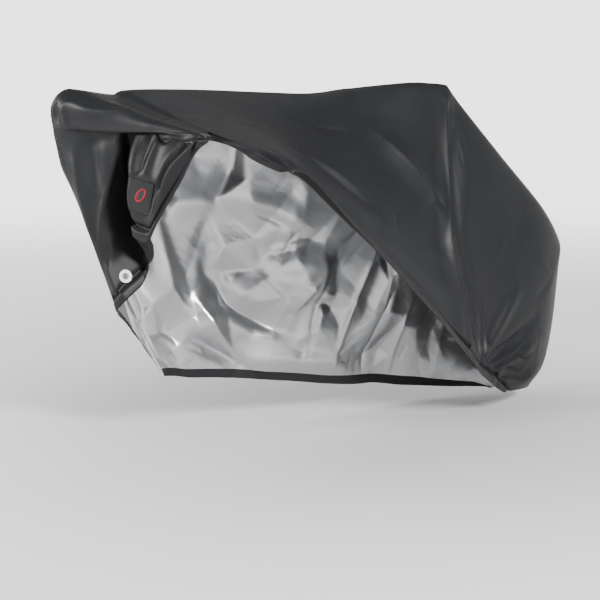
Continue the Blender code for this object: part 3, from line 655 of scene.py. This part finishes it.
def softened(grid, places):
    spread = np.minimum(places, 1 - places) / 2 + cover["leastSpread"]
    spread = np.minimum(cover["softening"], spread)
    gap = (places[:, None] - places[None, :]) / spread[:, None]
    weight = np.exp(-gap ** 2 / 2) * np.gradient(places)[None, :]
    weight /= weight.sum(axis=1, keepdims=True)
    soft = np.einsum("jk,ikc->ijc", weight, grid)
    crown = cover["farColumns"]
    hold = np.exp(-((places - crownPlace) / cover["crownReach"]) ** 2)[None, :, None]
    return soft + (grid[:, crown:crown + 1] - soft[:, crown:crown + 1]) * hold


# a hole's centre, and its directions across, up and out of the cloth
def eyeletFrame(grid, rows, places, eyelet):
    rowStep, placeStep = eyelets["slopeRows"], eyelets["slopePlaces"]
    centre, above, below, left, right = onGrid(
        grid, rows, places, eyelet["row"] + np.array((0.0, rowStep, -rowStep, 0.0, 0.0)),
        eyelet["place"] + np.array((0.0, 0.0, 0.0, -placeStep, placeStep)))
    out = unit(np.cross(right - left, above - below))
    up = above - below
    up = unit(up - out * np.dot(up, out))
    across = np.cross(up, out)
    lean = math.radians(eyelet["lean"])
    return (centre, across * math.cos(lean) - up * math.sin(lean),
            up * math.cos(lean) + across * math.sin(lean), out)


def flatten(grid, rows, places, eyelet):
    centre, _, _, out = eyeletFrame(grid, rows, places, eyelet)
    offset = grid - centre
    away = np.linalg.norm(offset, axis=2)
    weight = 1.0 - step(away, eyelet["flat"], eyelet["flat"] + eyelets["blend"])
    weight *= (rows <= 1.0)[:, None]
    weight *= 1.0 - step(np.abs(places - eyelet["place"]), *eyelets["flatPlaces"])[None, :]
    grid -= (weight * (offset @ out))[:, :, None] * out


hem = {
    "width": 0.034,          # the turned and stitched channel along the near hem
    "proud": 0.0036,
    "edge": (-0.004, 0.002),     # where its step down starts and ends, from its width
    "groove": 0.0125, "grooveWidth": 0.0075, "grooveShift": 0.003,
    # black facing inside the hems: its places along the sides and rows along the front. The near
    # one runs wider than the hem's channel, and past the channel it is painted shade on the silver
    # lining, which is shaded there
    "facingAndPaintedShade": 0.050, "facingRow": 0.15, "farFacing": 0.0180, "farFacingRow": 0.06,
    "pucker": 0.0005, "puckerLength": 0.047, "puckerReach": 0.050, "puckerRow": 2.5,
    # the puckers' uneven spacing and depth along the hem
    "spacing": (2.6, 17.0), "depth": (0.55, 0.45, 6.1, 1.0),
}


# metres along the grid's rows or columns from its first point
def metresAlong(grid, axis):
    total = np.cumsum(np.linalg.norm(np.diff(grid, axis=axis), axis=2), axis=axis)
    return np.concatenate((np.zeros_like(total.take([0], axis=axis)), total), axis=axis)


def hangCloth():
    places = clothPlaces()
    rows, numbers = curtainGrid(places)
    body = evenNumbers(cover["bodyRows"])
    numbers = np.concatenate((numbers, body + 2))
    grid = softened(np.stack(rows + [section(number, places) for number in body]), places)
    height = raised(grid, numbers, places, broadFolds + fineFolds + tuple(randomFolds()))
    height += crumpled(grid, numbers, places)
    grid = grid + surfaceNormals(grid) * height[:, :, None]
    for name in ("near", "far"):
        flatten(grid, numbers, places, eyelets[name])
    across, down = metresAlong(grid, 1), metresAlong(grid, 0)
    onNear = places > crownPlace
    nearHem = np.minimum(across[:, -1:] - across, np.where(onNear, down, np.inf))
    farHem = np.where(onNear, np.inf, np.minimum(across, down))
    past = nearHem - hem["width"]
    strip = 1.0 - step(past, *hem["edge"])
    groove = np.exp(-((past - hem["grooveShift"]) / hem["grooveWidth"]) ** 2)
    bend, often = hem["spacing"]
    wave = np.sin(2 * np.pi * down / hem["puckerLength"] + bend * np.sin(down * often))
    even, change, slow, start = hem["depth"]
    wave *= even + change * np.sin(down * slow + start)
    fade = np.exp(-(np.minimum(nearHem, farHem) / hem["puckerReach"]) ** 2)
    fade *= (numbers > hem["puckerRow"])[:, None]
    out = hem["proud"] * strip - hem["groove"] * groove + hem["pucker"] * wave * fade
    grid = grid + surfaceNormals(grid) * out[:, :, None]
    grid[:, :, 2] += groundZ
    return grid, numbers, places, across, down


grid, rowNumbers, places, acrossCloth, downCloth = hangCloth()
print("cloth hung:", grid.shape)

# noise is given as scale and detail, bump as strength and distance in metres
finish = {
    "yarn": 0.0011,          # spacing of the weave
    "weaveBump": (0.10, 0.0002),
    "black": {
        "colour": (0.0088, 0.0091, 0.0098), "worn": (0.0113, 0.0117, 0.0126),
        "patches": (5.0, 5.0), "leastRough": 0.39, "moreRough": 0.14,
        "specular": 0.16, "sheen": 0.01, "sheenRough": 0.5,
        "grain": (420.0, 2.0), "crumple": (26.0, 4.0), "crumpleBump": (0.15, 0.004),
    },
    "silver": {
        "colour": (0.52, 0.525, 0.535), "shade": (0.36, 0.365, 0.375),
        "patches": (4.0, 4.0), "metallic": 0.93, "rough": 0.30,
        "crumple": (22.0, 5.0), "crumpleBump": (0.25, 0.005),
    },
    # name, colour, roughness and size of grain
    "thread": ("darkThread", (0.016, 0.016, 0.017), 0.55, 900.0),
    "red": ("redBinding", (0.20, 0.003, 0.010), 0.55, 700.0),
    "pale": ("palePlastic", (0.82, 0.82, 0.80), 0.35, 60.0),
    "tapeShade": 0.7, "tapeDetail": 3.0, "tapeSpecular": 0.25, "tapeBump": (0.3, 0.0004),
}


# a plain weave on the cloth's own measure, in metres
def weaveHeight(nodes):
    flat = nodes.add("ShaderNodeUVMap", {}, uv_map="clothMetres")["UV"]
    split = nodes.add("ShaderNodeSeparateXYZ", {0: flat})
    turn = 2 * math.pi / finish["yarn"]
    warp, weft = (nodes.math("SINE", nodes.math("MULTIPLY", split[k], turn)) for k in (0, 1))
    return flat, nodes.math("MULTIPLY", warp, weft)


def blackCloth():
    own = finish["black"]
    nodes = Nodes(bpy.data.materials.new("blackCoatedCloth"))
    flat, weave = weaveHeight(nodes)
    patchy = nodes.noise(nodes.add("ShaderNodeTexCoord", {})["Object"], *own["patches"])
    rough = nodes.math("MULTIPLY", patchy, own["moreRough"])
    height = nodes.math("ADD", weave, nodes.noise(flat, *own["grain"]))
    crumple = nodes.bump(nodes.noise(flat, *own["crumple"]), *own["crumpleBump"])
    nodes.paint({"Base Color": nodes.mix(patchy, own["colour"], own["worn"]),
                 "Roughness": nodes.math("ADD", rough, own["leastRough"]),
                 "Specular IOR Level": own["specular"], "Sheen Weight": own["sheen"],
                 "Sheen Roughness": own["sheenRough"],
                 "Normal": nodes.bump(height, *finish["weaveBump"], Normal=crumple)})
    return nodes.owner


def silverCloth():
    own = finish["silver"]
    nodes = Nodes(bpy.data.materials.new("silverCoating"))
    flat, weave = weaveHeight(nodes)
    patchy = nodes.noise(nodes.add("ShaderNodeTexCoord", {})["Object"], *own["patches"])
    crumple = nodes.bump(nodes.noise(flat, *own["crumple"]), *own["crumpleBump"])
    nodes.paint({"Base Color": nodes.mix(patchy, own["shade"], own["colour"]),
                 "Metallic": own["metallic"], "Roughness": own["rough"],
                 "Normal": nodes.bump(weave, *finish["weaveBump"], Normal=crumple)})
    return nodes.owner


def tapeCloth(name, colour, rough, scale):
    nodes = Nodes(bpy.data.materials.new(name))
    place = nodes.add("ShaderNodeTexCoord", {})["Object"]
    grain = nodes.noise(place, scale, finish["tapeDetail"])
    darker = tuple(channel * finish["tapeShade"] for channel in colour)
    nodes.paint({"Base Color": nodes.mix(grain, darker, colour), "Roughness": rough,
                 "Specular IOR Level": finish["tapeSpecular"],
                 "Normal": nodes.bump(grain, *finish["tapeBump"])})
    return nodes.owner


black = blackCloth()
silver = silverCloth()
threadFinish = tapeCloth(*finish["thread"])
redFinish = tapeCloth(*finish["red"])
paleFinish = tapeCloth(*finish["pale"])
print("finishes made")

panel = {
    "clearance": 0.0003, "patch": 0.0008,
    "patchRows": (0.24, 0.56), "patchPlaces": (0.705, 0.838),
}


def newPiece(name, points, faces, paints):
    mesh = bpy.data.meshes.new(name)
    mesh.from_pydata(points.tolist(), [], faces.tolist())
    for paint in paints:
        mesh.materials.append(paint)
    piece = bpy.data.objects.new(name, mesh)
    bpy.context.collection.objects.link(piece)
    return piece


def onlySelect(piece):
    bpy.ops.object.select_all(action="DESELECT")
    piece.select_set(True)
    bpy.context.view_layer.objects.active = piece


# a closed thin sheet between two grids, black outside, and silver within but for the facing and the
# painted shade past it, which are black
def closedSheet(name, outer, inner, flat, facingAndPaintedShade):
    count, columns = outer.shape[:2]
    index = np.arange(count * columns).reshape(count, columns)
    a, b = index[:-1, :-1].ravel(), index[:-1, 1:].ravel()
    c, d = index[1:, 1:].ravel(), index[1:, :-1].ravel()
    # the same diagonals on both faces, so that neither comes through the other
    outerFaces = np.concatenate((np.stack((a, b, c), 1), np.stack((a, c, d), 1)))
    shift = count * columns
    innerFaces = outerFaces[:, ::-1] + shift
    ring = np.concatenate((index[0, :], index[1:, -1], index[-1, -2::-1], index[-2:0:-1, 0]))
    after = np.roll(ring, -1)
    rimFaces = np.concatenate((np.stack((after, ring, ring + shift), 1),
                               np.stack((after, ring + shift, after + shift), 1)))
    faces = np.concatenate((outerFaces, innerFaces, rimFaces))
    points = np.concatenate((outer.reshape(-1, 3), inner.reshape(-1, 3)))
    piece = newPiece(name, points, faces, (black, silver))
    mesh = piece.data
    faced = facingAndPaintedShade.ravel()
    kinds = np.zeros(len(faces), int)
    kinds[len(outerFaces):2 * len(outerFaces)] = np.tile(
        ~(faced[a] & faced[b] & faced[c] & faced[d]), 2)
    mesh.polygons.foreach_set("material_index", kinds)
    mesh.polygons.foreach_set("use_smooth", np.ones(len(faces), bool))
    loops = np.zeros(len(mesh.loops), int)
    mesh.loops.foreach_get("vertex_index", loops)
    both = np.tile(flat.reshape(-1, 2), (2, 1))
    mesh.uv_layers.new(name="clothMetres").data.foreach_set("uv", both[loops].ravel())
    mesh.update()
    return piece


normal = surfaceNormals(grid)
flatMetres = np.stack((acrossCloth, downCloth), 2)
underside = grid - normal * cover["cloth"]
seam = cover["farColumns"]
nearSide, farSide = slice(seam, None), slice(None, seam + 1)
rowColumn = rowNumbers[:, None]
# black inside along the hems: real facing, widened along the near hem as painted shade
facingAndPaintedShade = np.where(places < crownPlace,
                  (places < hem["farFacing"]) | (rowColumn < hem["farFacingRow"]),
                  (places > 1 - hem["facingAndPaintedShade"]) | (rowColumn < hem["facingRow"]))

nearCloth = closedSheet("nearCloth", grid[:, nearSide], underside[:, nearSide],
                        flatMetres[:, nearSide], facingAndPaintedShade[:, nearSide])
# the far panel stops just short of the near one at the crown
farOuter = grid[:, farSide].copy()
farOuter[:, -1] += unit(farOuter[:, -2] - farOuter[:, -1]) * panel["clearance"]
farInner = farOuter - normal[:, farSide] * cover["cloth"]
farCloth = closedSheet("farCloth", farOuter, farInner, flatMetres[:, farSide], facingAndPaintedShade[:, farSide])

patchArea = (slice(*np.searchsorted(rowNumbers, panel["patchRows"])),
             slice(*np.searchsorted(places, panel["patchPlaces"])))
patchUnder = (grid + normal * panel["clearance"])[patchArea]
patchOver = patchUnder + normal[patchArea] * panel["patch"]
patchCloth = closedSheet("patchCloth", patchOver, patchUnder, flatMetres[patchArea],
                         np.ones(patchOver.shape[:2], bool))


# one oval cutter for all the pieces that the hole goes through
def cutHole(pieces, place, eyelet):
    centre, across, up, out = place
    bpy.ops.object.select_all(action="DESELECT")
    bpy.ops.mesh.primitive_cylinder_add(vertices=eyelets["cutterSides"], radius=1.0,
                                        depth=eyelets["cutterDepth"])
    cutter = bpy.context.object
    sides = (across * eyelet["halfAcross"], up * eyelet["halfUp"], out)
    turn = Matrix(sides).transposed().to_4x4()
    turn.translation = Vector(centre)
    cutter.matrix_world = turn
    for piece in pieces:
        onlySelect(piece)
        cut = piece.modifiers.new("hole", "BOOLEAN")
        cut.operation = "DIFFERENCE"
        cut.solver = "EXACT"
        cut.object = cutter
        bpy.ops.object.modifier_apply(modifier=cut.name)
    onlySelect(cutter)
    bpy.ops.object.delete()


nearPlace = eyeletFrame(grid, rowNumbers, places, eyelets["near"])
farPlace = eyeletFrame(grid, rowNumbers, places, eyelets["far"])
cutHole((nearCloth, patchCloth), nearPlace, eyelets["near"])
cutHole((nearCloth,), farPlace, eyelets["far"])
print("panels made:", len(nearCloth.data.polygons), len(farCloth.data.polygons))

rims = {
    "around": 96, "section": 20, "tube": 0.25,
    "squareness": 0.45,      # 0 leaves the section round
    # stack is the cloth's thickness besides the panel's, waves are the binding's ripples
    "red": {"flange": 0.0038, "thickness": 0.0015, "stack": 0.0011, "waves": 26, "wave": 0.00018},
    "pale": {"flange": 0.0080, "thickness": 0.0015, "stack": 0.0, "waves": 0, "wave": 0.0},
}


# a rounded ring clasped through the hole: a torus pressed flat and fitted to the hole's oval
def makeRim(name, place, eyelet, sizes, paint):
    centre, across, up, out = (Vector(part) for part in place)
    halfAcross, halfUp, tube = eyelet["halfAcross"], eyelet["halfUp"], rims["tube"]
    inside = sizes["thickness"] + panel["clearance"]
    thick = cover["cloth"] + sizes["stack"] + 2 * inside
    low = -cover["cloth"] - inside
    halfWidth = (sizes["flange"] + inside) / 2
    middle = (sizes["flange"] - inside) / 2
    bpy.ops.object.select_all(action="DESELECT")
    bpy.ops.mesh.primitive_torus_add(major_segments=rims["around"], minor_segments=rims["section"],
                                     major_radius=1.0, minor_radius=tube)
    ring = bpy.context.object
    ring.name = name
    for vertex in ring.data.vertices:
        x, y, z = vertex.co
        angle = math.atan2(y, x)
        sideways, height = (math.hypot(x, y) - 1.0) / tube, z / tube
        squarer = max(abs(sideways), abs(height)) ** -rims["squareness"]
        sideways, height = sideways * squarer, height * squarer
        edge = Vector((halfAcross * math.cos(angle), halfUp * math.sin(angle), 0.0))
        away = Vector((math.cos(angle) / halfAcross, math.sin(angle) / halfUp, 0.0)).normalized()
        point = edge + away * (middle + sideways * halfWidth)
        ripple = sizes["wave"] * math.sin(sizes["waves"] * angle) * max(height, 0.0)
        lift = low + thick * (0.5 + height / 2) + ripple
        vertex.co = centre + across * point.x + up * point.y + out * lift
    onlySelect(ring)
    bpy.ops.object.shade_smooth()
    ring.data.materials.append(paint)
    return ring


redRim = makeRim("redRim", nearPlace, eyelets["near"], rims["red"], redFinish)
paleRim = makeRim("paleRim", farPlace, eyelets["far"], rims["pale"], paleFinish)
print("rims made")

stitch = {
    "pitch": 0.0062, "length": 0.0042, "width": 0.0009, "height": 0.0007,
    "shoulder": 0.3, "under": 0.4,       # shares of the height at its sides and under the cloth
    "fromEdge": 0.004,                   # the hem's stitches, from its channel's edge
    "cellsIn": 2, "rowsOff": 2,          # cells in from the patch's edge, rows left at the ends
}
stitchFaces = ((0, 1, 2), (0, 2, 3), (4, 2, 1), (4, 3, 2),
               (0, 5, 1), (4, 1, 5), (0, 3, 5), (4, 5, 3))


# short thread lozenges, one for each stitch, along a line on the cloth
def stitchRow(path, outward):
    length = lengthAlong(path)
    centres = np.arange(stitch["pitch"] / 2, length[-1], stitch["pitch"])
    start, middle, end = (pointsAt(centres + shift * stitch["length"] / 2, length, path)
                          for shift in (-1, 0, 1))
    rise = unit(pointsAt(centres, length, outward))
    side = unit(np.cross(end - start, rise)) * stitch["width"] / 2
    lift = rise * stitch["height"]
    shoulder = lift * stitch["shoulder"]
    corners = (start, middle + side + shoulder, middle + lift, middle - side + shoulder, end,
               middle - lift * stitch["under"])
    faces = np.array(stitchFaces)[None] + len(corners) * np.arange(len(centres))[:, None, None]
    return np.stack(corners, 1).reshape(-1, 3), faces.reshape(-1, 3)


def stitching(name, lines):
    points, faces, shift = [], [], 0
    for path, outward in lines:
        found, corners = stitchRow(path, outward)
        points.append(found)
        faces.append(corners + shift)
        shift += len(found)
    piece = newPiece(name, np.concatenate(points), np.concatenate(faces), (threadFinish,))
    onlySelect(piece)
    bpy.ops.object.mode_set(mode="EDIT")
    bpy.ops.mesh.select_all(action="SELECT")
    bpy.ops.mesh.normals_make_consistent(inside=False)
    bpy.ops.object.mode_set(mode="OBJECT")
    return piece


# points and normals at one distance from the near hem, row by row
def contour(level):
    found, outward = [], []
    distance = acrossCloth[:, -1:] - acrossCloth
    for i in range(stitch["rowsOff"], len(grid) - stitch["rowsOff"]):
        line = distance[i, nearSide][::-1]
        if line[-1] < level:
            continue
        for values, kept in ((grid, found), (normal, outward)):
            kept.append(pointsAt(level, line, values[i, nearSide][::-1]))
    return np.array(found), np.array(outward)


hemThread = stitching("hemThread", [contour(hem["width"] - stitch["fromEdge"])])
within = slice(stitch["cellsIn"], -stitch["cellsIn"])
sewn, sewnNormal = patchOver[within, within], normal[patchArea][within, within]
edges = ((0, slice(None)), (slice(None), -1), (-1, slice(None)), (slice(None), 0))
patchThread = stitching("patchThread", [(sewn[edge], sewnNormal[edge]) for edge in edges])
print("stitching made")

# each piece hangs from the root, and the frame's part that it replaces is hidden
for piece, node, slotName in (
        (nearCloth, "near_panel", "coated_cloth"), (farCloth, "far_panel", "coated_cloth"),
        (patchCloth, "lock_hole_patch", "coated_cloth"), (redRim, "lock_hole_rim", "red_binding"),
        (paleRim, "second_lock_hole_rim", "pale_ring")):
    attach(piece, "root")
    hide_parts(node)
for piece in (hemThread, patchThread):
    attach(piece, "root")
